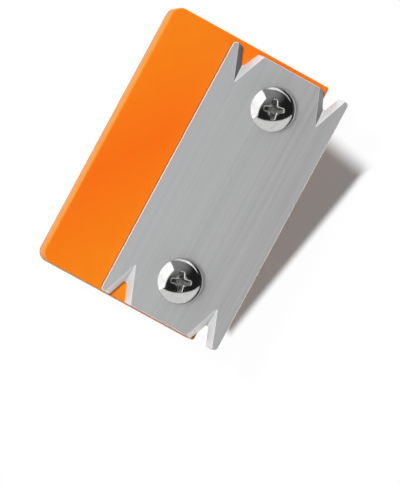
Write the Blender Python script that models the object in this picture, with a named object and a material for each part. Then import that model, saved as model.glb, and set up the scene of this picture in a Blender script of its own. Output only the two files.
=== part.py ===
"""Edge trimming plane: a moulded block that is held in the hand and slid along the edge of a board, with a
flat steel blade screwed to its face. The blade stands out past the block's side, the fence, so the board's
edge runs in the corner between the fence and the blade's underside, and one of the four ground notches of the
blade trims it. The plane lies on its back: X runs across it, from the grip to the overhanging blade, Y along
it and Z up through the screws. All lengths are in metres.
"""

import math

import bmesh
import bpy
from mathutils import Vector

MM = 0.001

# Blade
BLADE_WIDTH = 30.0 * MM
BLADE_LENGTH = 64.0 * MM
BLADE_THICKNESS = 2.0 * MM
TIP_RADIUS = 0.9 * MM

# Notches of the blade, measured along its end edges and on its lower face, where they cut
NOTCH_INSET = 4.4 * MM
NOTCH_DEPTH = 4.8 * MM
NOTCH_HALF_ANGLE = math.radians(20.5)
NOTCH_RADIUS = 0.45 * MM
GRIND_RUN = 1.5 * MM
CUTTING_MOUTH_RADIUS = 0.7 * MM
UPPER_MOUTH_RADIUS = 0.1 * MM

# Block, which takes its width and length from the blade
GRIP_WIDTH = 15.0 * MM
OVERHANG = 5.4 * MM
UPPER_END_MARGIN = 0.7 * MM
LOWER_END_MARGIN = 0.1 * MM
BLOCK_THICKNESS = 10.0 * MM
BLOCK_FLOOR = 1.8 * MM
GRIP_CORNER_RADIUS = 2.5 * MM
FENCE_CORNER_RADIUS = 0.5 * MM
BLOCK_EDGE_ROUND = 0.4 * MM

# Screws, with a coarse 5 mm thread
SCREW_END_DISTANCE = 10.0 * MM
HEAD_RADIUS = 5.0 * MM
HEAD_SIDE = 1.2 * MM
HEAD_DOME = 2.3 * MM
HEAD_LOWER_CHAMFER = 0.25 * MM
THREAD_PITCH = 0.8 * MM
THREAD_RADIUS = 2.42 * MM
THREAD_DEPTH = 0.42 * MM
THREAD_CREST = 0.12 * MM
THREAD_ROOT = 0.2 * MM
TIP_CHAMFER = 0.5 * MM
TIP_PROTRUSION = 0.3 * MM
RECESS_RADIUS = 2.5 * MM
RECESS_HALF_WIDTH = 0.62 * MM
RECESS_DEPTH = 2.4 * MM
RECESS_FLOOR_RADIUS = 1.0 * MM
RECESS_FLOOR_HALF_WIDTH = 0.35 * MM
RECESS_TURN = math.radians(20)

# Threaded inserts
INSERT_RADIUS = 3.5 * MM
INSERT_SINK = 0.1 * MM
KNURL_DEPTH = 0.2 * MM
INSERT_GROOVE = 0.8 * MM
INSERT_END_CHAMFER = 0.4 * MM

# Clearances
SEAT_GAP = 0.3 * MM
HOLE_CLEARANCE = 0.4 * MM
INSERT_CLEARANCE = 0.15 * MM
THREAD_CLEARANCE = 0.12 * MM
BORE_RUNOUT = 0.8 * MM

# Fineness of arcs and rings
ARC_STEPS = 6
EDGE_SEGMENTS = 3
TURN_STEPS = 20
RING_STEPS = 2 * TURN_STEPS
DOME_STEPS = 7

# Sizes and places that follow
TOTAL_WIDTH = GRIP_WIDTH + BLADE_WIDTH
BLOCK_WIDTH = TOTAL_WIDTH - OVERHANG
BLOCK_LENGTH = BLADE_LENGTH + UPPER_END_MARGIN + LOWER_END_MARGIN
BLOCK_LEFT = -TOTAL_WIDTH / 2
BLADE_CENTRE = Vector((
    BLOCK_LEFT + GRIP_WIDTH + BLADE_WIDTH / 2,
    (LOWER_END_MARGIN - UPPER_END_MARGIN) / 2,
    BLOCK_THICKNESS + SEAT_GAP,
))
HEAD_SEAT = BLADE_THICKNESS + SEAT_GAP
HEAD_HEIGHT = HEAD_SIDE + HEAD_DOME
BORE_DEPTH = BLOCK_THICKNESS - BLOCK_FLOOR
INSERT_LENGTH = BORE_DEPTH - INSERT_SINK - TIP_PROTRUSION - BORE_RUNOUT
SCREW_LENGTH = HEAD_SEAT + SEAT_GAP + INSERT_SINK + INSERT_LENGTH + TIP_PROTRUSION
SCREW_OFFSET = BLADE_LENGTH / 2 - SCREW_END_DISTANCE
SCREW_PLACES = (("upper", SCREW_OFFSET), ("lower", -SCREW_OFFSET))
SMOOTH_ANGLE = math.radians(40)


def make_material(name, colour, roughness, metallic):
    material = bpy.data.materials.new(name)
    material.use_nodes = True
    shader = material.node_tree.nodes["Principled BSDF"]
    shader.inputs["Base Color"].default_value = (*colour, 1.0)
    shader.inputs["Roughness"].default_value = roughness
    shader.inputs["Metallic"].default_value = metallic
    return material


def make_object(name, bm, place, parent=None, material=None):
    """Turn a finished bmesh into an object at a place in its parent's space."""
    bmesh.ops.recalc_face_normals(bm, faces=bm.faces)
    mesh = bpy.data.meshes.new(name)
    bm.to_mesh(mesh)
    bm.free()
    mesh.shade_smooth()
    mesh.set_sharp_from_angle(angle=SMOOTH_ANGLE)
    if material:
        mesh.materials.append(material)
    thing = bpy.data.objects.new(name, mesh)
    thing.location = place
    thing.parent = parent
    bpy.context.scene.collection.objects.link(thing)
    return thing


def cut(piece, cutter):
    """Take a cutter's shape away from a piece."""
    cutter.hide_render = True
    cutter.display_type = "WIRE"
    modifier = piece.modifiers.new(cutter.name, "BOOLEAN")
    modifier.operation = "DIFFERENCE"
    modifier.solver = "EXACT"
    modifier.object = cutter


def rounded_outline(corners):
    """Points round a polygon of (x, y, radius) corners, with an arc at each that its two sides have room for."""
    places = [Vector(corner[:2]) for corner in corners]
    count = len(corners)
    halves = []
    reaches = []
    for index, (x, y, radius) in enumerate(corners):
        back = places[index - 1] - places[index]
        ahead = places[(index + 1) % count] - places[index]
        halves.append(back.angle(ahead) / 2)
        reaches.append(radius / math.tan(halves[-1]))
    shares = [1.0] * count
    for index in range(count):
        following = (index + 1) % count
        room = (places[following] - places[index]).length
        share = 0.99 * room / (reaches[index] + reaches[following])
        shares[index] = min(shares[index], share)
        shares[following] = min(shares[following], share)
    points = []
    for index, place in enumerate(places):
        back = (places[index - 1] - place).normalized()
        ahead = (places[(index + 1) % count] - place).normalized()
        reach = reaches[index] * shares[index]
        centre = place + (back + ahead).normalized() * reach / math.cos(halves[index])
        spoke = place + back * reach - centre
        turn = math.copysign(math.pi - 2 * halves[index], ahead.cross(back))
        for step in range(ARC_STEPS + 1):
            angle = turn * step / ARC_STEPS
            cosine = math.cos(angle)
            sine = math.sin(angle)
            points.append(centre + Vector((
                spoke.x * cosine - spoke.y * sine,
                spoke.x * sine + spoke.y * cosine,
            )))
    return points


def add_ring(bm, points, height):
    return [bm.verts.new((point[0], point[1], height)) for point in points]


def circle(radius, steps):
    """Points of a circle, anticlockwise from +X."""
    angles = [2 * math.pi * step / steps for step in range(steps)]
    return [(radius * math.cos(angle), radius * math.sin(angle)) for angle in angles]


def join_rings(bm, rings):
    """Wall between rings that have as many points as each other."""
    for lower, upper in zip(rings, rings[1:]):
        for index in range(len(lower)):
            following = (index + 1) % len(lower)
            bm.faces.new((lower[index], lower[following], upper[following], upper[index]))


def join_coarse_ring(bm, fine, coarse):
    """Wall between a ring and one with half as many points."""
    for index in range(len(coarse)):
        following = (index + 1) % len(coarse)
        bm.faces.new((
            fine[2 * index],
            fine[2 * index + 1],
            fine[2 * following],
            coarse[following],
            coarse[index],
        ))


def loft(outlines, heights):
    """Closed solid between outlines that have as many points as each other."""
    bm = bmesh.new()
    rings = [add_ring(bm, outline, height) for outline, height in zip(outlines, heights)]
    join_rings(bm, rings)
    bm.faces.new(rings[0])
    bm.faces.new(rings[-1])
    return bm


def threaded_wall(bm, base_radius, ridge_radius, ridge_flat, base_flat, ridge_height, low, high):
    """Wall of a right-hand thread between a plain ring at low and one at high, which are returned.

    The ridge's middle crosses angle 0 at ridge_height and every pitch from there. The ridge grows out of the
    base within half a turn at each end.
    """
    flank = (THREAD_PITCH - ridge_flat - base_flat) / 2
    profile = ((0, 0), (flank, 1), (flank + ridge_flat, 1), (2 * flank + ridge_flat, 0))
    start = ridge_height - flank - ridge_flat / 2
    start += THREAD_PITCH * math.ceil((low + base_flat - start) / THREAD_PITCH)
    turns = math.floor((high - base_flat - start) / THREAD_PITCH) - 1
    last = turns * TURN_STEPS
    fade_steps = TURN_STEPS / 2
    directions = circle(1.0, TURN_STEPS)
    strip = []
    for step in range(last + 1):
        fade = min(1.0, step / fade_steps, (last - step) / fade_steps)
        across, along = directions[step % TURN_STEPS]
        row = []
        for rise, share in profile:
            radius = base_radius + (ridge_radius - base_radius) * share * fade
            height = start + THREAD_PITCH * step / TURN_STEPS + rise
            row.append(bm.verts.new((radius * across, radius * along, height)))
        strip.append(row)
    for here, there in zip(strip, strip[1:]):
        for index in range(3):
            bm.faces.new((here[index], there[index], there[index + 1], here[index + 1]))
    for step in range(last - TURN_STEPS):
        here = strip[step]
        there = strip[step + 1]
        bm.faces.new((here[3], there[3], strip[step + 1 + TURN_STEPS][0], strip[step + TURN_STEPS][0]))
    bottom = add_ring(bm, circle(base_radius, TURN_STEPS), low)
    top = add_ring(bm, circle(base_radius, TURN_STEPS), high)
    for step in range(TURN_STEPS):
        following = (step + 1) % TURN_STEPS
        seam = strip[0] if following == 0 else []
        bm.faces.new((bottom[step], bottom[following], *seam, strip[step + 1][0], strip[step][0]))
        above = last - TURN_STEPS + step
        seam = strip[last][::-1] if step == 0 else []
        bm.faces.new((strip[above][3], strip[above + 1][3], top[following], top[step], *seam))
    return bottom, top


def blade_outline(depth, mouth_radius):
    """Outline of the blade at the level where its notches, taken to a point, are this deep."""
    side = BLADE_WIDTH / 2
    end = BLADE_LENGTH / 2
    middle = side - NOTCH_INSET
    half_mouth = depth * math.tan(NOTCH_HALF_ANGLE)
    right = [
        (side, end, TIP_RADIUS),
        (middle + half_mouth, end, mouth_radius),
        (middle, end - depth, NOTCH_RADIUS),
        (middle - half_mouth, end, mouth_radius),
    ]
    left = [(-x, y, radius) for x, y, radius in reversed(right)]
    upper_end = right + left
    lower_end = [(-x, -y, radius) for x, y, radius in upper_end]
    return rounded_outline(upper_end + lower_end)


def make_block(material):
    """Solid block with round corners on the grip side and square ones along the fence."""
    right = BLOCK_LEFT + BLOCK_WIDTH
    end = BLOCK_LENGTH / 2
    outline = rounded_outline([
        (right, -end, FENCE_CORNER_RADIUS),
        (right, end, FENCE_CORNER_RADIUS),
        (BLOCK_LEFT, end, GRIP_CORNER_RADIUS),
        (BLOCK_LEFT, -end, GRIP_CORNER_RADIUS),
    ])
    block = make_object("handle_block", loft([outline, outline], [0, BLOCK_THICKNESS]), (0, 0, 0), None, material)
    rounding = block.modifiers.new("edge_round", "BEVEL")
    rounding.width = BLOCK_EDGE_ROUND
    rounding.segments = EDGE_SEGMENTS
    rounding.limit_method = "ANGLE"
    rounding.angle_limit = math.radians(60)
    return block


def make_blade(block, material):
    """Plate whose notches widen from the cutting edges on its lower face to its upper face."""
    upper_depth = NOTCH_DEPTH + GRIND_RUN / math.sin(NOTCH_HALF_ANGLE)
    cutting_outline = blade_outline(NOTCH_DEPTH, CUTTING_MOUTH_RADIUS)
    upper_outline = blade_outline(upper_depth, UPPER_MOUTH_RADIUS)
    plate = loft([cutting_outline, upper_outline], [0, BLADE_THICKNESS])
    return make_object("blade", plate, BLADE_CENTRE, block, material)


def make_insert(name, block, place, material):
    """Knurled brass insert whose thread runs a clearance outside the screw's; its top is at height 0."""
    bm = bmesh.new()
    base_radius = THREAD_RADIUS + THREAD_CLEARANCE
    ridge_height = INSERT_SINK - THREAD_PITCH / 2
    bottom, top = threaded_wall(
        bm, base_radius, base_radius - THREAD_DEPTH, THREAD_ROOT, THREAD_CREST,
        ridge_height, -INSERT_LENGTH, 0,
    )
    knurled_radius = INSERT_RADIUS - KNURL_DEPTH
    plain = circle(knurled_radius, RING_STEPS)
    toothed = circle(INSERT_RADIUS, RING_STEPS)
    toothed[1::2] = plain[1::2]
    middle = -INSERT_LENGTH / 2
    levels = (
        (plain, -INSERT_LENGTH),
        (toothed, -INSERT_LENGTH + INSERT_END_CHAMFER),
        (toothed, middle - INSERT_GROOVE / 2),
        (plain, middle - INSERT_GROOVE / 4),
        (plain, middle + INSERT_GROOVE / 4),
        (toothed, middle + INSERT_GROOVE / 2),
        (toothed, -INSERT_END_CHAMFER),
        (plain, 0),
    )
    rings = [add_ring(bm, points, height) for points, height in levels]
    join_rings(bm, rings)
    join_coarse_ring(bm, rings[0], bottom)
    join_coarse_ring(bm, rings[-1], top)
    return make_object(name, bm, place, block, material)


def make_screw(name, blade, place, material):
    """Pan-head screw whose head sits at height 0 on the blade and whose thread hangs below it."""
    bm = bmesh.new()
    root_radius = THREAD_RADIUS - THREAD_DEPTH
    ridge_height = -HEAD_SEAT - SEAT_GAP
    tip_height = -SCREW_LENGTH
    bottom, neck = threaded_wall(
        bm, root_radius, THREAD_RADIUS, THREAD_CREST, THREAD_ROOT,
        ridge_height, tip_height + TIP_CHAMFER, 0,
    )
    tip = add_ring(bm, circle(root_radius - TIP_CHAMFER, TURN_STEPS), tip_height)
    join_rings(bm, [tip, bottom])
    bm.faces.new(tip)
    levels = [(HEAD_RADIUS - HEAD_LOWER_CHAMFER, 0), (HEAD_RADIUS, HEAD_LOWER_CHAMFER)]
    for step in range(DOME_STEPS):
        angle = math.pi / 2 * step / DOME_STEPS
        levels.append((HEAD_RADIUS * math.cos(angle), HEAD_SIDE + HEAD_DOME * math.sin(angle)))
    rings = [add_ring(bm, circle(radius, RING_STEPS), height) for radius, height in levels]
    join_rings(bm, rings)
    join_coarse_ring(bm, rings[0], neck)
    crown = bm.verts.new((0, 0, HEAD_HEIGHT))
    for index, corner in enumerate(rings[-1]):
        bm.faces.new((corner, rings[-1][(index + 1) % RING_STEPS], crown))
    return make_object(name, bm, place, blade, material)


def cross_outline(reach, half_width):
    """Four-armed cross, anticlockwise."""
    arm = ((reach, -half_width), (reach, half_width), (half_width, half_width))
    points = []
    for quarter in range(4):
        angle = RECESS_TURN + quarter * math.pi / 2
        for x, y in arm:
            points.append((
                x * math.cos(angle) - y * math.sin(angle),
                x * math.sin(angle) + y * math.cos(angle),
            ))
    return points


def make_recess_cutter(name, blade, place):
    """Tapered cross that reaches from the floor of the recess to the same distance above the crown."""
    floor = cross_outline(RECESS_FLOOR_RADIUS, RECESS_FLOOR_HALF_WIDTH)
    above = cross_outline(
        2 * RECESS_RADIUS - RECESS_FLOOR_RADIUS,
        2 * RECESS_HALF_WIDTH - RECESS_FLOOR_HALF_WIDTH,
    )
    heights = [HEAD_HEIGHT - RECESS_DEPTH, HEAD_HEIGHT + RECESS_DEPTH]
    return make_object(name, loft([floor, above], heights), place, blade)


def make_drill(name, parent, place, radius, low, high):
    """Cylinder that cuts a round hole."""
    outline = circle(radius, RING_STEPS)
    return make_object(name, loft([outline, outline], [low, high]), place, parent)


for old in list(bpy.data.objects):
    bpy.data.objects.remove(old, do_unlink=True)

orange_plastic = make_material("orange_plastic", (0.91, 0.22, 0.012), 0.38, 0.0)
ground_steel = make_material("ground_steel", (0.42, 0.42, 0.42), 0.35, 1.0)
bright_nickel = make_material("bright_nickel", (0.72, 0.72, 0.73), 0.12, 1.0)
turned_brass = make_material("turned_brass", (0.72, 0.50, 0.17), 0.3, 1.0)

handle_block = make_block(orange_plastic)
blade = make_blade(handle_block, ground_steel)
for end_name, along in SCREW_PLACES:
    axis = Vector((BLADE_CENTRE.x, BLADE_CENTRE.y + along, BLOCK_THICKNESS))
    bore_radius = INSERT_RADIUS + INSERT_CLEARANCE
    bore = make_drill(end_name + "_bore", handle_block, axis, bore_radius, -BORE_DEPTH, SEAT_GAP)
    cut(handle_block, bore)
    insert_place = axis - Vector((0, 0, INSERT_SINK))
    make_insert(end_name + "_insert", handle_block, insert_place, turned_brass)
    hole_place = Vector((0, along, 0))
    hole_radius = THREAD_RADIUS + HOLE_CLEARANCE
    hole = make_drill(end_name + "_hole", blade, hole_place, hole_radius, -SEAT_GAP, HEAD_SEAT)
    cut(blade, hole)
    screw_place = Vector((0, along, HEAD_SEAT))
    screw = make_screw(end_name + "_screw", blade, screw_place, bright_nickel)
    cut(screw, make_recess_cutter(end_name + "_recess", blade, screw_place))
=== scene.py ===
import math

import bmesh
import bpy
from mathutils import Matrix, Vector


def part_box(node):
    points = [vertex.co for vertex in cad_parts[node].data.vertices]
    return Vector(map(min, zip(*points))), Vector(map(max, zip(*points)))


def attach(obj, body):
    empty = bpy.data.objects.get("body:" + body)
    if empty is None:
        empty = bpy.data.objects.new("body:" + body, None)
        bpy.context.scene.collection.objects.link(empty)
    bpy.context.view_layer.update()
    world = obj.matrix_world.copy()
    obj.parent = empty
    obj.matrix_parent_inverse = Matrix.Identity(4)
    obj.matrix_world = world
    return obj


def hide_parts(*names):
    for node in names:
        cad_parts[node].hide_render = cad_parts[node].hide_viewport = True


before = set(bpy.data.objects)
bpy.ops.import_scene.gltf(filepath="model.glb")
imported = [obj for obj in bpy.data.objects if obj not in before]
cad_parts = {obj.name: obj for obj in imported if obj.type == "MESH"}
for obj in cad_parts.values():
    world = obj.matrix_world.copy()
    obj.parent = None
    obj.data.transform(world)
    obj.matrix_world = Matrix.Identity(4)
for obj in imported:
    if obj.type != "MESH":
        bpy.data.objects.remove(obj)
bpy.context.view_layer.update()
scene = bpy.context.scene
scene.view_settings.view_transform = "Standard"


# Block: the body that the hand holds, moulded in one shot from orange plastic. Its face and back are flat,
# the two corners on the grip side are round and the fence side is square. Two blind bores in the face take
# the inserts.

screw_axes = {"upper": Vector((0.0075, 0.0217)), "lower": Vector((0.0075, -0.0223))}
cad_block_low, cad_block_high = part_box("handle_block")
block_top = cad_block_high.z
grip_corner_radius = 0.0025
fence_corner_radius = 0.0005
least_corner_radius = 0.00003
corner_steps = 14
block_edge_radius = 0.0004
block_edge_steps = 6
flat_inset = block_edge_radius + 0.0003
seam_height = 0.0012
seam_depth = 0.00004
seam_half_width = 0.00005
seam_margin = 0.00012
bore_radius = 0.00365
bore_depth = 0.0082
bore_lead = 0.0002
bore_steps = 64
pin_mark_radius = 0.002
pin_mark_depth = 0.00006
pin_mark_steps = 48
pin_mark_places = ((-0.0175, 0.0265), (-0.0175, -0.0265), (0.0122, 0.0), (-0.0075, 0.0))
cutter_overshoot = 0.001
block_sharp_angle = 35


def rounded_outline(corners, steps):
    """Points anticlockwise round a polygon of (x, y, radius) corners, each an arc of that many steps."""
    places = [Vector(corner[:2]) for corner in corners]
    points = []
    for index, place in enumerate(places):
        radius = corners[index][2]
        back = (places[index - 1] - place).normalized()
        ahead = (places[(index + 1) % len(places)] - place).normalized()
        half = back.angle(ahead) / 2
        centre = place + (back + ahead).normalized() * radius / math.sin(half)
        spoke = place + back * radius / math.tan(half) - centre
        turn = math.copysign(math.pi - 2 * half, ahead.cross(back))
        for step in range(steps + 1):
            points.append(centre + Matrix.Rotation(turn * step / steps, 2) @ spoke)
    return points


def circle_outline(centre, radius, steps):
    angles = [2 * math.pi * step / steps for step in range(steps)]
    return [centre + Vector((radius * math.cos(angle), radius * math.sin(angle))) for angle in angles]


def add_rings(bm, outlines, heights):
    """Rings of vertices joined by quads, from the lowest outline to the highest."""
    rings = []
    for outline, height in zip(outlines, heights):
        rings.append([bm.verts.new((point.x, point.y, height)) for point in outline])
    for lower, upper in zip(rings, rings[1:]):
        for index in range(len(lower)):
            following = (index + 1) % len(lower)
            bm.faces.new((lower[index], lower[following], upper[following], upper[index]))
    return rings


def closed_stack(outlines, heights, edge_shares=()):
    """Closed solid of joined rings with flat caps. A share for each ring goes into the edge attribute."""
    bm = bmesh.new()
    edge = bm.verts.layers.float.new("edge") if edge_shares else None
    rings = add_rings(bm, outlines, heights)
    bm.faces.new(rings[0][::-1])
    bm.faces.new(rings[-1])
    for ring, share in zip(rings, edge_shares):
        for corner in ring:
            corner[edge] = share
    return bm


def smooth_mesh(mesh, sharp_angle):
    mesh.shade_smooth()
    mesh.set_sharp_from_angle(angle=math.radians(sharp_angle))


def add_piece(name, bm, materials, sharp_angle):
    """Object at the origin whose mesh is the bmesh, smooth apart from edges sharper than the angle."""
    mesh = bpy.data.meshes.new(name)
    bm.to_mesh(mesh)
    bm.free()
    smooth_mesh(mesh, sharp_angle)
    for material in materials:
        mesh.materials.append(material)
    piece = bpy.data.objects.new(name, mesh)
    scene.collection.objects.link(piece)
    return piece


def settle(piece):
    """Give a piece the mesh that its modifiers make, and take them off."""
    bpy.context.view_layer.update()
    made = piece.evaluated_get(bpy.context.evaluated_depsgraph_get())
    mesh = bpy.data.meshes.new_from_object(made)
    piece.modifiers.clear()
    piece.data = mesh


def cut_away(piece, cutters, sharp_angle):
    """Take the cutters' shapes away from a piece, and remove the cutters."""
    for cutter in cutters:
        modifier = piece.modifiers.new(cutter.name, "BOOLEAN")
        modifier.operation = "DIFFERENCE"
        modifier.solver = "EXACT"
        modifier.object = cutter
    settle(piece)
    smooth_mesh(piece.data, sharp_angle)
    for cutter in cutters:
        bpy.data.objects.remove(cutter, do_unlink=True)


def feed_socket(tree, socket, value):
    """Link a socket to another node's output, or give it a value."""
    if isinstance(value, bpy.types.NodeSocket):
        tree.links.new(value, socket)
    else:
        socket.default_value = value


def feed(tree, node, **values):
    for name, value in values.items():
        feed_socket(tree, node.inputs[name.replace("_", " ")], value)


def add_node(tree, kind, **values):
    node = tree.nodes.new(kind)
    feed(tree, node, **values)
    return node


def reckon(tree, operation, *values):
    node = tree.nodes.new("ShaderNodeMath")
    node.operation = operation
    for socket, value in zip(node.inputs, values):
        feed_socket(tree, socket, value)
    return node.outputs[0]


def distance_along(tree, place, direction):
    """How far a place lies from the origin along a direction."""
    node = tree.nodes.new("ShaderNodeVectorMath")
    node.operation = "DOT_PRODUCT"
    feed_socket(tree, node.inputs[0], place)
    feed_socket(tree, node.inputs[1], direction)
    return node.outputs["Value"]


def scale_range(tree, value, low, high, new_low, new_high, smooth=False):
    node = add_node(tree, "ShaderNodeMapRange", Value=value)
    node.interpolation_type = "SMOOTHSTEP" if smooth else "LINEAR"
    for socket, number in zip(node.inputs[1:5], (low, high, new_low, new_high)):
        socket.default_value = number
    return node.outputs["Result"]


def blend_colours(tree, share, first, second):
    node = tree.nodes.new("ShaderNodeMix")
    node.data_type = "RGBA"
    feed_socket(tree, node.inputs[0], share)
    for socket, colour in zip((node.inputs[6], node.inputs[7]), (first, second)):
        feed_socket(tree, socket, (*colour, 1.0) if isinstance(colour, tuple) else colour)
    return node.outputs[2]


def noise(tree, place, scale, detail):
    return add_node(tree, "ShaderNodeTexNoise", Vector=place, Scale=scale, Detail=detail).outputs["Fac"]


def noise_between(tree, pattern, new_low, new_high):
    """A noise pattern, which lies mostly between 0.3 and 0.7, spread over a new range."""
    return scale_range(tree, pattern, 0.3, 0.7, new_low, new_high)


def bump(tree, pattern, strength):
    """Normals of a surface that a pattern roughens by a hundredth of a millimetre at most."""
    node = add_node(tree, "ShaderNodeBump", Height=pattern, Strength=strength, Distance=0.00001)
    return node.outputs["Normal"]


def start_material(name):
    """New material, its tree, its shader and the place on the piece in metres."""
    material = bpy.data.materials.new(name)
    material.use_nodes = True
    tree = material.node_tree
    place = add_node(tree, "ShaderNodeTexCoord").outputs["Object"]
    return material, tree, tree.nodes["Principled BSDF"], place


def block_outline(inset):
    right = cad_block_high.x - inset
    left = cad_block_low.x + inset
    top = cad_block_high.y - inset
    bottom = cad_block_low.y + inset
    fence = max(fence_corner_radius - inset, least_corner_radius)
    grip = grip_corner_radius - inset
    corners = [(right, bottom, fence), (right, top, fence), (left, top, grip), (left, bottom, grip)]
    return rounded_outline(corners, corner_steps)


orange_plastic, tree, shader, place = start_material("orange_plastic")
# Painted sheen: across a diagonal band the face is coloured redder along the band's middle line and more
# orange away from it, a painted reflection.
across_sheen_band = distance_along(tree, place, (0.829, -0.562, 0.0))
from_sheen_line = reckon(tree, "ABSOLUTE", reckon(tree, "ADD", across_sheen_band, 0.0118))
sheen_band_share = scale_range(tree, from_sheen_line, 0.0, 0.021, 0.0, 1.0)
colour = blend_colours(tree, sheen_band_share, (0.91, 0.155, 0.0075), (0.91, 0.228, 0.0100))
mottle_share = scale_range(tree, noise(tree, place, 260.0, 3.0), 0.35, 0.65, 0.0, 0.22)
colour = blend_colours(tree, mottle_share, colour, (0.87, 0.175, 0.0080))
# Painted highlight: the rounded edges and the sides are coloured lighter and yellower than the face.
edge = add_node(tree, "ShaderNodeAttribute")
edge.attribute_name = "edge"
edge_highlight_share = scale_range(tree, edge.outputs["Fac"], 0.0, 1.0, 0.0, 0.9)
colour = blend_colours(tree, edge_highlight_share, colour, (0.86, 0.252, 0.0160))
# Painted shade: the sides are coloured darker towards their foot, a painted contact shadow along the table.
up_the_side = add_node(tree, "ShaderNodeSeparateXYZ", Vector=place).outputs["Z"]
foot = scale_range(tree, up_the_side, 0.0008, 0.0026, 0.8, 0.0, smooth=True)
foot_shade_share = reckon(tree, "MULTIPLY", foot, edge.outputs["Fac"])
colour = blend_colours(tree, foot_shade_share, colour, (0.42, 0.165, 0.0350))
gloss = noise_between(tree, noise(tree, place, 700.0, 4.0), 0.40, 0.50)
grain = bump(tree, noise(tree, place, 7000.0, 2.0), 0.25)
feed(tree, shader, Base_Color=colour, Roughness=gloss, Specular_IOR_Level=0.06, Normal=grain)

lower_edge = [(flat_inset, 0.0, 0.0)]
for step in range(block_edge_steps + 1):
    angle = math.pi / 2 * step / block_edge_steps
    inset = block_edge_radius * (1 - math.sin(angle))
    height = block_edge_radius * (1 - math.cos(angle))
    lower_edge.append((inset, height, min(1.0, 0.5 * step)))
seam = []
for offset in (-seam_margin, -seam_half_width, 0.0, seam_half_width, seam_margin):
    seam.append((0.0 if offset else seam_depth, seam_height + offset, 1.0))
upper_edge = [(inset, block_top - height, share) for inset, height, share in reversed(lower_edge)]
insets, heights, edge_shares = zip(*lower_edge, *seam, *upper_edge)
bm = closed_stack([block_outline(inset) for inset in insets], heights, edge_shares)
block = add_piece("handle_block_moulding", bm, [orange_plastic], block_sharp_angle)
cutters = []
for end_name, axis in screw_axes.items():
    radii = (bore_radius, bore_radius, bore_radius + bore_lead, bore_radius + bore_lead)
    levels = (block_top - bore_depth, block_top - bore_lead, block_top, block_top + cutter_overshoot)
    bm = closed_stack([circle_outline(axis, radius, bore_steps) for radius in radii], levels)
    cutters.append(add_piece(end_name + "_bore", bm, [], block_sharp_angle))
for number, mark_place in enumerate(pin_mark_places):
    outline = circle_outline(Vector(mark_place), pin_mark_radius, pin_mark_steps)
    bm = closed_stack([outline, outline], (-cutter_overshoot, pin_mark_depth))
    cutters.append(add_piece(f"pin_mark_{number}", bm, [], block_sharp_angle))
cut_away(block, cutters, block_sharp_angle)
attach(block, "handle")
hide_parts("handle_block")


# Inserts: two turned brass bushes, moulded into the bores. Their outsides are knurled in two bands with a
# groove between, so that the plastic holds them, and they carry the thread that the screws run in.

insert_low = 0.0029
insert_high = 0.0099
insert_middle = (insert_low + insert_high) / 2
insert_body_radius = 0.0033
insert_bore_radius = 0.00254
insert_chamfer = 0.0003
insert_steps = 72
insert_sharp_angle = 25
groove_half = 0.0005
groove_depth = 0.0003
groove_flank = 0.0002
knurl_teeth = 28
knurl_tooth_radius = 0.00034
knurl_sink = 0.0002
band_margin = 0.0001
band_length = insert_middle - groove_half - insert_low - 2 * insert_chamfer
thread_pitch = 0.0008
thread_steps = 48
insert_thread_low = 0.0032
insert_thread_turns = 7.5


def stretched_noise(tree, place, stretch, detail):
    drawn_out = add_node(tree, "ShaderNodeMapping", Vector=place, Scale=stretch)
    return noise(tree, drawn_out.outputs[0], 1.0, detail)


turned_brass, tree, shader, place = start_material("turned_brass")
tarnish = noise(tree, place, 420.0, 5.0)
tarnish_share = scale_range(tree, tarnish, 0.35, 0.7, 0.0, 1.0)
colour = blend_colours(tree, tarnish_share, (0.76, 0.53, 0.19), (0.60, 0.38, 0.12))
gloss = noise_between(tree, tarnish, 0.24, 0.40)
lathe_lines = bump(tree, stretched_noise(tree, place, (150.0, 150.0, 16000.0), 2.0), 0.3)
feed(tree, shader, Base_Color=colour, Roughness=gloss, Metallic=1.0, Normal=lathe_lines)


def start_tree(name, numbers, places):
    """Geometry Nodes tree with a geometry, a material and these number and place inputs."""
    tree = bpy.data.node_groups.new(name, "GeometryNodeTree")
    tree.interface.new_socket("Geometry", in_out="INPUT", socket_type="NodeSocketGeometry")
    tree.interface.new_socket("Geometry", in_out="OUTPUT", socket_type="NodeSocketGeometry")
    tree.interface.new_socket("Material", in_out="INPUT", socket_type="NodeSocketMaterial")
    for label in numbers:
        kind = "NodeSocketInt" if label.startswith("Number of") else "NodeSocketFloat"
        tree.interface.new_socket(label, in_out="INPUT", socket_type=kind)
    for label in places:
        tree.interface.new_socket(label, in_out="INPUT", socket_type="NodeSocketVector")
    return tree, tree.nodes.new("NodeGroupInput").outputs


def grow(tree, kind, mode=None, **values):
    """First output of a geometry node in this mode, with these values and links on its inputs."""
    node = tree.nodes.new(kind)
    if mode:
        node.mode = mode
    feed(tree, node, **values)
    return node.outputs[0]


def finish_tree(tree, given, grown):
    """Join what was grown to the piece, and give it all one material."""
    joined = tree.nodes.new("GeometryNodeJoinGeometry")
    for geometry in (given["Geometry"], grown):
        tree.links.new(geometry, joined.inputs[0])
    real = grow(tree, "GeometryNodeRealizeInstances", Geometry=joined.outputs[0])
    dressed = grow(tree, "GeometryNodeSetMaterial", Geometry=real, Material=given["Material"])
    tree.links.new(dressed, tree.nodes.new("NodeGroupOutput").inputs[0])


def apply_tree(piece, tree, values):
    """Put a tree on a piece with these values, by the sockets' identifiers, and keep the mesh it makes."""
    modifier = piece.modifiers.new(tree.name, "NODES")
    modifier.node_group = tree
    for item in tree.interface.items_tree:
        if item.in_out == "INPUT" and item.name in values:
            modifier[item.identifier] = values[item.name]
    settle(piece)


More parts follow.
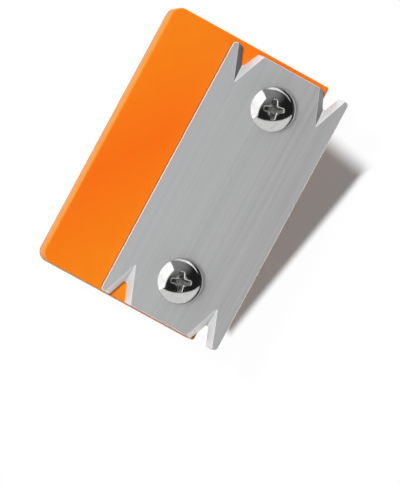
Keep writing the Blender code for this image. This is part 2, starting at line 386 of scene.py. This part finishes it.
thread_numbers = (
    "Number of Steps",
    "Turns",
    "Pitch",
    "Root Radius",
    "Ridge Low",
    "Ridge High",
    "Low Width",
    "High Width",
)
thread_tree, given = start_tree("screw_thread", thread_numbers, ("Start",))
path = grow(
    thread_tree,
    "GeometryNodeCurveSpiral",
    Resolution=given["Number of Steps"],
    Rotations=given["Turns"],
    Start_Radius=given["Root Radius"],
    End_Radius=given["Root Radius"],
    Height=reckon(thread_tree, "MULTIPLY", given["Pitch"], given["Turns"]),
)
path = grow(thread_tree, "GeometryNodeSetCurveNormal", "Z_UP", Curve=path)
ridge = grow(
    thread_tree,
    "GeometryNodeCurvePrimitiveQuadrilateral",
    "TRAPEZOID",
    Bottom_Width=given["Low Width"],
    Top_Width=given["High Width"],
    Height=reckon(thread_tree, "SUBTRACT", given["Ridge High"], given["Ridge Low"]),
    Offset=0.0,
)
ridge_sum = reckon(thread_tree, "ADD", given["Ridge High"], given["Ridge Low"])
ridge_shift = grow(thread_tree, "ShaderNodeCombineXYZ", Y=reckon(thread_tree, "MULTIPLY", ridge_sum, 0.5))
ridge = grow(thread_tree, "GeometryNodeTransform", Geometry=ridge, Translation=ridge_shift)
along = thread_tree.nodes.new("GeometryNodeSplineParameter").outputs["Factor"]
turns_done = reckon(thread_tree, "MULTIPLY", along, given["Turns"])
turns_left = reckon(thread_tree, "SUBTRACT", given["Turns"], turns_done)
nearest_end = reckon(thread_tree, "MINIMUM", turns_done, turns_left)
fade = reckon(thread_tree, "MINIMUM", reckon(thread_tree, "MULTIPLY_ADD", nearest_end, 2.0, 0.5), 1.0)
thread = grow(
    thread_tree,
    "GeometryNodeCurveToMesh",
    Curve=path,
    Profile_Curve=ridge,
    Scale=fade,
    Fill_Caps=True,
)
thread = grow(thread_tree, "GeometryNodeTransform", Geometry=thread, Translation=given["Start"])
finish_tree(thread_tree, given, thread)

knurl_numbers = ("Number of Teeth", "Number of Bands", "Body Radius", "Tooth Radius", "Band Length")
knurl_tree, given = start_tree("knurl_bands", knurl_numbers, ("Lowest Band", "Next Band"))
ring = grow(
    knurl_tree,
    "GeometryNodeMeshCircle",
    Vertices=given["Number of Teeth"],
    Radius=given["Body Radius"],
)
tooth = grow(
    knurl_tree,
    "GeometryNodeMeshCylinder",
    Vertices=4,
    Radius=given["Tooth Radius"],
    Depth=given["Band Length"],
)
tooth_number = knurl_tree.nodes.new("GeometryNodeInputIndex").outputs[0]
turn_share = reckon(knurl_tree, "DIVIDE", tooth_number, given["Number of Teeth"])
tooth_turn = reckon(knurl_tree, "MULTIPLY", turn_share, 2 * math.pi)
facing = grow(knurl_tree, "FunctionNodeAxisAngleToRotation", Angle=tooth_turn)
band = grow(knurl_tree, "GeometryNodeInstanceOnPoints", Points=ring, Instance=tooth, Rotation=facing)
band_places = grow(
    knurl_tree,
    "GeometryNodeMeshLine",
    Count=given["Number of Bands"],
    Start_Location=given["Lowest Band"],
    Offset=given["Next Band"],
)
bands = grow(knurl_tree, "GeometryNodeInstanceOnPoints", Points=band_places, Instance=band)
finish_tree(knurl_tree, given, bands)


def turned_rings(bm, axis, profile, steps):
    """Rings turned round an axis from (radius, height) points."""
    outlines = [circle_outline(axis, radius, steps) for radius, height in profile]
    return add_rings(bm, outlines, [height for radius, height in profile])


def turned_loop(axis, profile, steps):
    """Closed ring turned from a loop of (radius, height) points."""
    bm = bmesh.new()
    rings = turned_rings(bm, axis, profile, steps)
    for index in range(steps):
        following = (index + 1) % steps
        bm.faces.new((rings[-1][index], rings[-1][following], rings[0][following], rings[0][index]))
    return bm


insert_profile = (
    (insert_bore_radius, insert_high - insert_chamfer),
    (insert_bore_radius, insert_low + insert_chamfer),
    (insert_bore_radius + insert_chamfer, insert_low),
    (insert_body_radius - insert_chamfer, insert_low),
    (insert_body_radius, insert_low + insert_chamfer),
    (insert_body_radius, insert_middle - groove_half),
    (insert_body_radius - groove_depth, insert_middle - groove_half + groove_flank),
    (insert_body_radius - groove_depth, insert_middle + groove_half - groove_flank),
    (insert_body_radius, insert_middle + groove_half),
    (insert_body_radius, insert_high - insert_chamfer),
    (insert_body_radius - insert_chamfer, insert_high),
    (insert_bore_radius + insert_chamfer, insert_high),
)
for end_name, axis in screw_axes.items():
    bm = turned_loop(axis, insert_profile, insert_steps)
    insert = add_piece(end_name + "_insert_bush", bm, [turned_brass], insert_sharp_angle)
    band_rise = insert_middle + groove_half + band_margin - insert_low - insert_chamfer
    apply_tree(insert, knurl_tree, {
        "Material": turned_brass,
        "Number of Teeth": knurl_teeth,
        "Number of Bands": 2,
        "Body Radius": insert_body_radius - knurl_sink,
        "Tooth Radius": knurl_tooth_radius,
        "Band Length": band_length,
        "Lowest Band": (axis.x, axis.y, insert_low + insert_chamfer + band_margin + band_length / 2),
        "Next Band": (0.0, 0.0, band_rise),
    })
    apply_tree(insert, thread_tree, {
        "Material": turned_brass,
        "Number of Steps": thread_steps,
        "Turns": insert_thread_turns,
        "Pitch": thread_pitch,
        "Root Radius": insert_bore_radius,
        "Ridge Low": -0.00042,
        "Ridge High": 0.00004,
        "Low Width": 0.0002,
        "High Width": 0.00068,
        "Start": (axis.x, axis.y, insert_thread_low),
    })
    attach(insert, "handle")
    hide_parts(end_name + "_insert")


# Blade: a plate of hardened steel, ground lengthwise on both faces and clamped on the block by the two
# screws. A notch is ground into it near each corner, so that its lower edges cut, and one side stands out
# past the fence.

blade_middle = 0.00758
blade_half_width = 0.01492
blade_ends = {1: 0.0313, -1: -0.0323}
blade_low = 0.01002
blade_high = 0.0123
blade_edge_break = 0.00012
blade_sharp_angle = 30
notch_middles = {1: 0.0181, -1: -0.00304}
notch_arc_steps = 8
cutting_roots = {1: 0.0268, -1: -0.0273}
cutting_half_mouth = 0.0019
cutting_lean = 0.0002
cutting_radii = {"tip": 0.0011, "outer mouth": 0.0007, "root": 0.00045, "inner mouth": 0.00025}
upper_roots = {1: 0.0230, -1: -0.0236}
upper_half_mouth = 0.0032
upper_lean = 0.00005
upper_radii = {"tip": 0.0009, "outer mouth": 0.00013, "root": 0.00015, "inner mouth": 0.00013}
inner_mouth_ease = 0.00015
dark_facet_tilt = 0.1
screw_hole_radius = 0.00282
screw_hole_steps = 64


def blade_outline(roots, half_mouth, lean, radii):
    """Outline of the blade at one level, from its notches' roots, half width at the mouth and lean to +X."""
    corners = []
    for end, height in blade_ends.items():
        for side in (end, -end):
            middle = notch_middles[side] + lean
            notch = [
                (blade_middle + side * blade_half_width, height, radii["tip"]),
                (middle + side * half_mouth, height, radii["outer mouth"]),
                (middle, roots[end], radii["root"]),
                (middle - side * (half_mouth + inner_mouth_ease), height, radii["inner mouth"]),
            ]
            corners.extend(notch if side == end else reversed(notch))
    return rounded_outline(corners, notch_arc_steps)


def step_in(outline, distance):
    """Anticlockwise outline moved in by a small distance."""
    moved = []
    for index, point in enumerate(outline):
        along = (outline[(index + 1) % len(outline)] - outline[index - 1]).normalized()
        moved.append(point + Vector((-along.y, along.x)) * distance)
    return moved


ground_steel, tree, shader, place = start_material("ground_steel")
fine_lines = stretched_noise(tree, place, (6500.0, 60.0, 900.0), 3.0)
broad_lines = stretched_noise(tree, place, (1300.0, 14.0, 300.0), 4.0)
fine_share = noise_between(tree, fine_lines, 0.0, 1.0)
broad_share = noise_between(tree, broad_lines, 0.0, 1.0)
fine_colour = blend_colours(tree, fine_share, (0.38, 0.38, 0.38), (0.47, 0.47, 0.47))
broad_colour = blend_colours(tree, broad_share, (0.365, 0.365, 0.37), (0.485, 0.485, 0.485))
colour = blend_colours(tree, 0.5, fine_colour, broad_colour)
# Painted light: the ground faces are coloured lighter towards the grip side.
across = add_node(tree, "ShaderNodeSeparateXYZ", Vector=place).outputs["X"]
grip_side_light_share = scale_range(tree, across, -0.0075, 0.0225, 0.35, 0.0, smooth=True)
colour = blend_colours(tree, grip_side_light_share, colour, (0.50, 0.51, 0.525))
gloss = noise_between(tree, fine_lines, 0.50, 0.60)
feed(tree, shader, Base_Color=colour, Roughness=gloss, Metallic=1.0, Normal=bump(tree, fine_lines, 0.2))

ground_notch, tree, shader, place = start_material("ground_notch")
wheel_lines = stretched_noise(tree, place, (7000.0, 7000.0, 250.0), 2.0)
wheel_share = noise_between(tree, wheel_lines, 0.0, 1.0)
colour = blend_colours(tree, wheel_share, (0.60, 0.60, 0.61), (0.66, 0.66, 0.67))
# Painted shade: the notch facets are coloured darker towards the lower end.
lengthwise = add_node(tree, "ShaderNodeSeparateXYZ", Vector=place).outputs["Y"]
lower_end_shade_share = scale_range(tree, lengthwise, -0.02, 0.0, 0.65, 0.0)
colour = blend_colours(tree, lower_end_shade_share, colour, (0.52, 0.52, 0.53))
gloss = noise_between(tree, wheel_lines, 0.34, 0.44)
feed(tree, shader, Base_Color=colour, Roughness=gloss, Metallic=0.35, Normal=bump(tree, wheel_lines, 0.15))

# Painted shade: a darker copy of the notch steel for the facets that face away from the light, painted
# lighter towards the fence side and darker near the upper notches' roots.
shaded_notch, tree, shader, place = start_material("shaded_notch")
shaded_notch_lines = stretched_noise(tree, place, (4000.0, 4000.0, 180.0), 3.0)
shaded_notch_share = noise_between(tree, shaded_notch_lines, 0.0, 1.0)
colour = blend_colours(tree, shaded_notch_share, (0.105, 0.105, 0.11), (0.16, 0.16, 0.165))
spread = add_node(tree, "ShaderNodeSeparateXYZ", Vector=place).outputs
fence_side_light_share = scale_range(tree, spread["X"], 0.0, 0.02, 0.0, 0.8)
colour = blend_colours(tree, fence_side_light_share, colour, (0.30, 0.30, 0.31))
root_shade_share = scale_range(tree, spread["Y"], 0.0235, 0.029, 0.42, 0.0)
colour = blend_colours(tree, root_shade_share, colour, (0.07, 0.07, 0.075))
gloss = noise_between(tree, shaded_notch_lines, 0.44, 0.54)
feed(tree, shader, Base_Color=colour, Roughness=gloss, Metallic=0.35, Normal=bump(tree, shaded_notch_lines, 0.3))

# Painted shade: the blade's sides are coloured dark grey, standing in for the shadow along the blade's
# edges.
shaded_side, tree, shader, place = start_material("shaded_side")
side_marks = stretched_noise(tree, place, (600.0, 220.0, 2500.0), 4.0)
side_mark_share = noise_between(tree, side_marks, 0.0, 1.0)
colour = blend_colours(tree, side_mark_share, (0.20, 0.20, 0.21), (0.30, 0.30, 0.31))
feed(tree, shader, Base_Color=colour, Roughness=noise_between(tree, side_marks, 0.42, 0.55), Metallic=1.0)

honed_edge, tree, shader, place = start_material("honed_edge")
hone_marks = noise(tree, place, 1500.0, 3.0)
hone_share = noise_between(tree, hone_marks, 0.0, 1.0)
colour = blend_colours(tree, hone_share, (0.64, 0.64, 0.64), (0.72, 0.72, 0.72))
feed(tree, shader, Base_Color=colour, Roughness=noise_between(tree, hone_marks, 0.28, 0.36), Metallic=0.2)

cutting_outline = blade_outline(cutting_roots, cutting_half_mouth, cutting_lean, cutting_radii)
upper_outline = blade_outline(upper_roots, upper_half_mouth, upper_lean, upper_radii)
outlines = (cutting_outline, upper_outline, step_in(upper_outline, blade_edge_break))
bm = closed_stack(outlines, (blade_low, blade_high - blade_edge_break, blade_high))
blade_finishes = [ground_steel, ground_notch, shaded_notch, shaded_side, honed_edge]
corner_kinds = ("tip", "mouth", "root", "mouth", "mouth", "root", "mouth", "tip") * 2
bm.faces.ensure_lookup_table()
for index in range(len(cutting_outline)):
    corner = index // (notch_arc_steps + 1)
    following = (index + 1) % len(cutting_outline) // (notch_arc_steps + 1)
    kinds = (corner_kinds[corner], corner_kinds[following])
    side_face = bm.faces[index]
    side_face.normal_update()
    side_finish = shaded_side
    if "tip" not in kinds and (corner == following or "root" in kinds):
        # Facets that face +X and +Y, away from the light, take the painted shade of the darker copy.
        dark = side_face.normal.x > dark_facet_tilt and side_face.normal.y > 0
        side_finish = shaded_notch if dark else ground_notch
    side_face.material_index = blade_finishes.index(side_finish)
    edge_finish = honed_edge if kinds == ("tip", "tip") else ground_notch
    bm.faces[index + len(cutting_outline)].material_index = blade_finishes.index(edge_finish)
blade = add_piece("blade_plate", bm, blade_finishes, blade_sharp_angle)
cutters = []
for end_name, axis in screw_axes.items():
    outline = circle_outline(axis, screw_hole_radius, screw_hole_steps)
    bm = closed_stack([outline, outline], (blade_low - cutter_overshoot, blade_high + cutter_overshoot))
    cutters.append(add_piece(end_name + "_hole", bm, [], blade_sharp_angle))
cut_away(blade, cutters, blade_sharp_angle)
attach(blade, "blade")
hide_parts("blade")


# Screws: two pan-head machine screws of nickel-plated steel, headed and rolled, with a cross recess. They go
# through the blade's holes into the inserts, and their heads clamp the blade on the block.

head_radius = 0.00508
head_low = 0.01232
head_lower_chamfer = 0.00015
head_side_top = 0.0138
head_dome = 0.0023
head_crown = head_side_top + head_dome
dome_steps = 22
shoulder_slope = math.radians(37)
shoulder_fall = math.radians(39)
shoulder_radius = 0.00006
shoulder_steps = 5
shank_radius = 0.002
shank_fillet_height = 0.0004
shank_fillet_width = 0.0003
tip_low = 0.0026
tip_chamfer = 0.0005
screw_steps = 96
screw_sharp_angle = 30
screw_thread_low = 0.0036
screw_thread_turns = 10.0
recess_depth = 0.0024
recess_reach = 0.00213
recess_turn = math.radians(20)
recess_lip = 0.00038
recess_lip_rise = 0.00001
recess_paint_margin = 0.0003
lip_steps = 4
cross_arc_steps = 4
floor_cross = {
    "reach": 0.0009,
    "tip_half": 0.00028,
    "root_half": 0.0004,
    "tip_rounding": 0.00006,
    "root_rounding": 0.00006,
}
mouth_cross = {
    "reach": recess_reach,
    "tip_half": 0.00036,
    "root_half": 0.0005,
    "tip_rounding": 0.00012,
    "root_rounding": 0.00044,
}

bright_nickel, tree, shader, place = start_material("bright_nickel")
haze = noise(tree, place, 900.0, 4.0)
haze_share = scale_range(tree, haze, 0.35, 0.7, 0.0, 1.0)
colour = blend_colours(tree, haze_share, (0.76, 0.755, 0.75), (0.69, 0.685, 0.68))
gloss = noise_between(tree, haze, 0.07, 0.13)
orange_peel = bump(tree, noise(tree, place, 2600.0, 1.0), 0.06)
feed(tree, shader, Base_Color=colour, Roughness=gloss, Metallic=1.0, Normal=orange_peel)

# Painted shade: the cross recess is coloured darker than the rest of the head, as shade in the hollow.
shaded_recess, tree, shader, place = start_material("shaded_recess")
recess_mottle = noise(tree, place, 2200.0, 3.0)
recess_mottle_share = scale_range(tree, recess_mottle, 0.35, 0.7, 0.0, 1.0)
colour = blend_colours(tree, recess_mottle_share, (0.52, 0.515, 0.51), (0.36, 0.355, 0.35))
feed(tree, shader, Base_Color=colour, Roughness=noise_between(tree, recess_mottle, 0.22, 0.34), Metallic=0.75)


def dome_height(radius):
    return head_side_top + head_dome * math.sqrt(1 - (radius / head_radius) ** 2)


def turned_screw(axis):
    """Screw blank from tip to crown, without thread or recess. The dome's shoulder steepens only slowly."""
    dome_end = math.atan2(head_dome, math.tan(shoulder_slope) * head_radius)
    dome_edge = head_radius * math.cos(dome_end)
    round_edge = head_radius - shoulder_radius * (1 - math.sin(shoulder_fall))
    stride = (round_edge - dome_edge) / shoulder_steps
    shoulder = [(dome_edge, dome_height(dome_edge))]
    for step in range(shoulder_steps):
        slope = shoulder_slope + (shoulder_fall - shoulder_slope) * (step + 0.5) / shoulder_steps
        shoulder.append((shoulder[-1][0] + stride, shoulder[-1][1] - stride * math.tan(slope)))
    side_height = shoulder[-1][1] - shoulder_radius * math.cos(shoulder_fall)
    profile = [
        (shank_radius - tip_chamfer, tip_low),
        (shank_radius, tip_low + tip_chamfer),
        (shank_radius, head_low - shank_fillet_height),
        (shank_radius + shank_fillet_width, head_low),
        (head_radius - head_lower_chamfer, head_low),
        (head_radius, head_low + head_lower_chamfer),
    ]
    for step in range(shoulder_steps):
        angle = (math.pi / 2 - shoulder_fall) * step / shoulder_steps
        across = head_radius - shoulder_radius * (1 - math.cos(angle))
        profile.append((across, side_height + shoulder_radius * math.sin(angle)))
    profile.extend(shoulder[:0:-1])
    for step in range(dome_steps):
        angle = dome_end + (math.pi / 2 - dome_end) * step / dome_steps
        profile.append((head_radius * math.cos(angle), head_side_top + head_dome * math.sin(angle)))
    bm = bmesh.new()
    rings = turned_rings(bm, axis, profile, screw_steps)
    bm.faces.new(rings[0][::-1])
    crown = bm.verts.new((axis.x, axis.y, head_crown))
    for index, corner in enumerate(rings[-1]):
        bm.faces.new((corner, rings[-1][(index + 1) % screw_steps], crown))
    return bm


def cross_outline(reach, tip_half, root_half, tip_rounding, root_rounding):
    """Four arms round the origin that narrow from the middle to their ends, anticlockwise."""
    corners = []
    for quarter in range(4):
        turn = Matrix.Rotation(recess_turn + quarter * math.pi / 2, 2)
        corners.append((*(turn @ Vector((reach, -tip_half))), tip_rounding))
        corners.append((*(turn @ Vector((reach, tip_half))), tip_rounding))
        corners.append((*(turn @ Vector((root_half, root_half))), root_rounding))
    return rounded_outline(corners, cross_arc_steps)


def recess_punch(axis):
    """Punch for the cross recess, whose mouth spreads into a rounded lip along the dome."""
    mouth = cross_outline(**mouth_cross)
    rings = [[(point, head_crown - recess_depth) for point in cross_outline(**floor_cross)]]
    for step in range(lip_steps + 1):
        angle = math.pi / 2 * step / lip_steps
        spread = step_in(mouth, -recess_lip * (1 - math.cos(angle)))
        sink = recess_lip * (1 - math.sin(angle)) - recess_lip_rise
        rings.append([(point, dome_height(point.length) - sink) for point in spread])
    rings.append([(point, head_crown + cutter_overshoot) for point, height in rings[-1]])
    bm = closed_stack([[axis + point for point, height in ring] for ring in rings], [0.0] * len(rings))
    bm.verts.ensure_lookup_table()
    for corner, height in zip(bm.verts, [height for ring in rings for point, height in ring]):
        corner.co.z = height
    return bm


for end_name, axis in screw_axes.items():
    screw = add_piece(end_name + "_pan_head_screw", turned_screw(axis), [bright_nickel], screw_sharp_angle)
    punch = add_piece(end_name + "_recess", recess_punch(axis), [], screw_sharp_angle)
    cut_away(screw, [punch], screw_sharp_angle)
    apply_tree(screw, thread_tree, {
        "Material": bright_nickel,
        "Number of Steps": thread_steps,
        "Turns": screw_thread_turns,
        "Pitch": thread_pitch,
        "Root Radius": shank_radius,
        "Ridge Low": -0.00004,
        "Ridge High": 0.00042,
        "Low Width": 0.0006,
        "High Width": 0.00012,
        "Start": (axis.x, axis.y, screw_thread_low),
    })
    smooth_mesh(screw.data, screw_sharp_angle)
    screw.data.materials.clear()
    screw.data.materials.append(bright_nickel)
    screw.data.materials.append(shaded_recess)
    paint_low = head_crown - recess_depth - recess_paint_margin
    # Faces inside the cross recess take the painted shade of the darker recess material.
    for face in screw.data.polygons:
        radius = (face.center.xy - axis).length
        in_recess = radius < recess_reach and paint_low < face.center.z < dome_height(radius) - recess_lip
        face.material_index = 1 if in_recess else 0
    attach(screw, end_name + "_screw")
    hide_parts(end_name + "_screw")


# Studio: a white table round the plane, a key lamp from the grip side for the plane and a lower one for the
# table's shadow. A white panel, an overhead lamp and a pale wall with a dark foot show in the metal, and
# three lamps light the blade alone. The camera looks down on the plane.

table_height = -0.0001
table_reach = 3.0
table_gap = 0.0003
table_sharp_angle = 30
table_lift = 0.083
painted_light_fades = (
    ((0.98, -0.20, 0.0), 0.0290, 0.0312),
    ((0.18, 1.0, 0.0), 0.0239, 0.0299),
    ((0.0, -1.0, 0.0), 0.0250, 0.0280),
)
towards_wall = (0.479, -0.810, -0.337)
towards_corner = (-0.53, 0.63, 0.57)


def seen_rays(tree):
    """One for rays that show a surface to the camera, straight or in metal or glass, and zero for others."""
    rays = tree.nodes.new("ShaderNodeLightPath").outputs
    seen = reckon(tree, "MAXIMUM", rays["Is Camera Ray"], rays["Is Glossy Ray"])
    return reckon(tree, "MAXIMUM", seen, rays["Is Transmission Ray"])


def join_shaders(tree, kind, *outputs):
    """Output of a node whose inputs are linked to these outputs in turn."""
    node = tree.nodes.new(kind)
    for output, socket in zip(outputs, node.inputs):
        tree.links.new(output, socket)
    return node.outputs[0]


table_white, tree, shader, place = start_material("table_white")
tree.nodes.remove(shader)
paper_share = noise_between(tree, noise(tree, place, 900.0, 2.0), 0.0, 1.0)
paper_colour = blend_colours(tree, paper_share, (0.95, 0.94, 0.935), (0.96, 0.95, 0.945))
paper = add_node(tree, "ShaderNodeBsdfDiffuse", Color=paper_colour).outputs[0]
seen = seen_rays(tree)
lift = scale_range(tree, seen, 0.0, 1.0, 0.0, table_lift)
glow = add_node(tree, "ShaderNodeEmission", Strength=lift).outputs[0]
lit_paper = join_shaders(tree, "ShaderNodeAddShader", paper, glow)
# Painted light: beyond a slanting line on the fence side and past both ends of the plane, the table is made
# plain white by position, wiping out its shadow there.
faded = 0.0
for outward, start, end in painted_light_fades:
    fade = scale_range(tree, distance_along(tree, place, outward), start, end, 0.0, 0.98, smooth=True)
    faded = reckon(tree, "MAXIMUM", fade, faded)
painted_light_share = reckon(tree, "MULTIPLY", seen, faded)
painted_white = add_node(tree, "ShaderNodeEmission", Strength=1.0).outputs[0]
faded_paper = join_shaders(tree, "ShaderNodeMixShader", painted_light_share, lit_paper, painted_white)
from_below = tree.nodes.new("ShaderNodeNewGeometry").outputs["Backfacing"]
clear = tree.nodes.new("ShaderNodeBsdfTransparent").outputs[0]
clear_below = join_shaders(tree, "ShaderNodeMixShader", from_below, faded_paper, clear)
tree.links.new(clear_below, tree.nodes["Material Output"].inputs["Surface"])
bm = bmesh.new()
opening = block_outline(table_gap)
rim = [point * (table_reach / max(abs(point.x), abs(point.y))) for point in opening]
add_rings(bm, [rim, opening], [table_height, table_height])
table = add_piece("table", bm, [table_white], table_sharp_angle)

world = bpy.data.worlds.new("studio")
world.use_nodes = True
scene.world = world
tree = world.node_tree
direction = add_node(tree, "ShaderNodeTexCoord").outputs["Generated"]
spread = add_node(tree, "ShaderNodeSeparateXYZ", Vector=direction).outputs
corner_share = scale_range(
    tree, distance_along(tree, direction, towards_corner), 0.56, 1.0, 0.0, 1.0, smooth=True
)
wall_face = scale_range(
    tree, distance_along(tree, direction, towards_wall), 0.18, 0.21, 0.0, 1.0, smooth=True
)
wall_foot = scale_range(tree, spread["Z"], 0.138, 0.155, 0.0, 1.0, smooth=True)
above_shelf = scale_range(tree, spread["Z"], 0.190, 0.200, 0.0, 1.0)
below_top = scale_range(tree, spread["Z"], 0.262, 0.272, 1.0, 0.0)
far_side = scale_range(tree, spread["Y"], 0.70, 0.84, 0.0, 1.0, smooth=True)
far_strip = reckon(tree, "MULTIPLY", above_shelf, below_top)
horizon_share = scale_range(tree, spread["Z"], 0.045, 0.06, 1.0, 0.0, smooth=True)
colour = blend_colours(tree, corner_share, (0.015, 0.015, 0.015), (0.26, 0.26, 0.26))
colour = blend_colours(tree, reckon(tree, "MULTIPLY", wall_face, wall_foot), colour, (0.78, 0.78, 0.77))
colour = blend_colours(tree, reckon(tree, "MULTIPLY", far_strip, far_side), colour, (1.2, 1.2, 1.2))
colour = blend_colours(tree, horizon_share, colour, (0.95, 0.95, 0.95))
strength = scale_range(tree, seen_rays(tree), 0.0, 1.0, 0.5, 1.0)
feed(tree, tree.nodes["Background"], Color=colour, Strength=strength)


def light_group(name, piece):
    """Collection of one piece, for a lamp that treats it by itself."""
    group = bpy.data.collections.new(name)
    group.objects.link(piece)
    return group


def add_lamp(name, kind, power, place, aim=(0, 0, 0), lights=None, unseen_by=None, **settings):
    """Lamp at a place in metres that shines at a point, on one light group where it is given."""
    light = bpy.data.lights.new(name, kind)
    light.energy = power
    for setting, value in settings.items():
        setattr(light, setting, value)
    lamp = bpy.data.objects.new(name, light)
    lamp.location = place
    lamp.rotation_euler = (Vector(aim) - Vector(place)).to_track_quat("-Z", "Y").to_euler()
    lamp.visible_camera = False
    if unseen_by:
        setattr(lamp, "visible_" + unseen_by, False)
    scene.collection.objects.link(lamp)
    if lights:
        lamp.light_linking.receiver_collection = lights


table_only = light_group("table_only", table)
blade_only = light_group("blade_only", blade)
not_table = light_group("not_table", table)
not_table.collection_objects[0].light_linking.link_state = "EXCLUDE"
add_lamp(
    "key_lamp", "SUN", 3.62, (-0.625, 0.12, 0.771),
    lights=not_table, unseen_by="glossy", angle=math.radians(9),
)
add_lamp(
    "table_lamp", "SUN", 4.09, (-0.72, 0.12, 0.683),
    lights=table_only, unseen_by="glossy", angle=math.radians(9),
)
add_lamp(
    "white_panel", "AREA", 11.5, (-0.862, -0.386, 0.74), (0.128, -0.525, 0.74),
    unseen_by="diffuse", shape="RECTANGLE", size=2.0, size_y=1.48,
)
add_lamp("overhead_lamp", "AREA", 0.25, (0.135, 0.041, 1.0), shape="DISK", size=0.54)
add_lamp("blade_sky_lamp", "SUN", 0.85, (0.0, 0.0, 1.0), lights=blade_only, angle=math.radians(150))
add_lamp(
    "blade_side_lamp", "SUN", 1.3, (-0.381, -0.206, 0.899),
    lights=blade_only, unseen_by="diffuse", angle=math.radians(24),
)
add_lamp(
    "blade_fill_lamp", "SUN", 1.6, (0.80, -0.40, 0.45),
    lights=blade_only, unseen_by="glossy", angle=math.radians(60),
)

camera = bpy.data.cameras.new("camera")
camera.lens = 395.11
camera.sensor_width = 36.0
camera_place = Vector((-0.154077, -0.061749, 1.198553))
camera_right = Vector((0.86953, 0.47415, 0.13817))
camera_up = Vector((-0.47510, 0.87948, -0.02812))
camera_back = Vector((-0.13485, -0.04120, 0.99001))
camera_turn = Matrix((camera_right, camera_up, camera_back)).transposed()
eye = bpy.data.objects.new("camera", camera)
eye.matrix_world = Matrix.Translation(camera_place) @ camera_turn.to_4x4()
scene.collection.objects.link(eye)
scene.camera = eye
